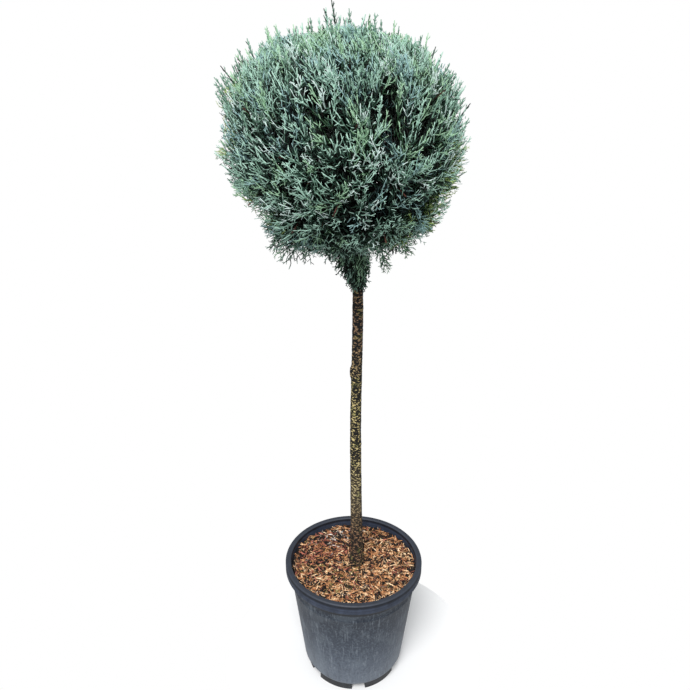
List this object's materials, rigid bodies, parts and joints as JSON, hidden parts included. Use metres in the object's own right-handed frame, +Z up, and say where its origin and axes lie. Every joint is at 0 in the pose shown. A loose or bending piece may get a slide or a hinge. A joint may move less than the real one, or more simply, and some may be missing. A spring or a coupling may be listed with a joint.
{
  "type": "potted cypress ball topiary",
  "caption": "Clipped blue-green cypress ball on a clear upright stem, growing in a round tapered plastic nursery pot topped with bark mulch.",
  "frame": {"origin": "centre of the pot's flat underside, on the ground it stands on", "axes": "+Z up along the stem; the pictured front faces -Y; +X to the viewer's right"},
  "size_m": [0.4621, 0.4525, 1.4948],
  "materials": {
    "pot": "scuffed matt blue-grey",
    "soil": "dark potting compost",
    "mulch": "loose bark and wood chips",
    "bark": "rough bark with lichen",
    "foliage": "matt waxy blue-green scale leaves"
  },
  "bodies": {
    "root": {"pot": "pot", "potting_soil": "soil", "bark_mulch": "mulch", "trunk": "bark", "collar_mass": "foliage", "top_mass": "foliage", "lower_bough_1": "bark", "lower_mass_1": "foliage", "lower_bough_2": "bark", "lower_mass_2": "foliage", "lower_bough_3": "bark", "lower_mass_3": "foliage", "lower_bough_4": "bark", "lower_mass_4": "foliage", "middle_bough_1": "bark", "middle_mass_1": "foliage", "middle_bough_2": "bark", "middle_mass_2": "foliage", "middle_bough_3": "bark", "middle_mass_3": "foliage", "middle_bough_4": "bark", "middle_mass_4": "foliage", "middle_bough_5": "bark", "middle_mass_5": "foliage", "upper_bough_1": "bark", "upper_mass_1": "foliage", "upper_bough_2": "bark", "upper_mass_2": "foliage", "upper_bough_3": "bark", "upper_mass_3": "foliage", "upper_bough_4": "bark", "upper_mass_4": "foliage"}
  },
  "joints": []
}
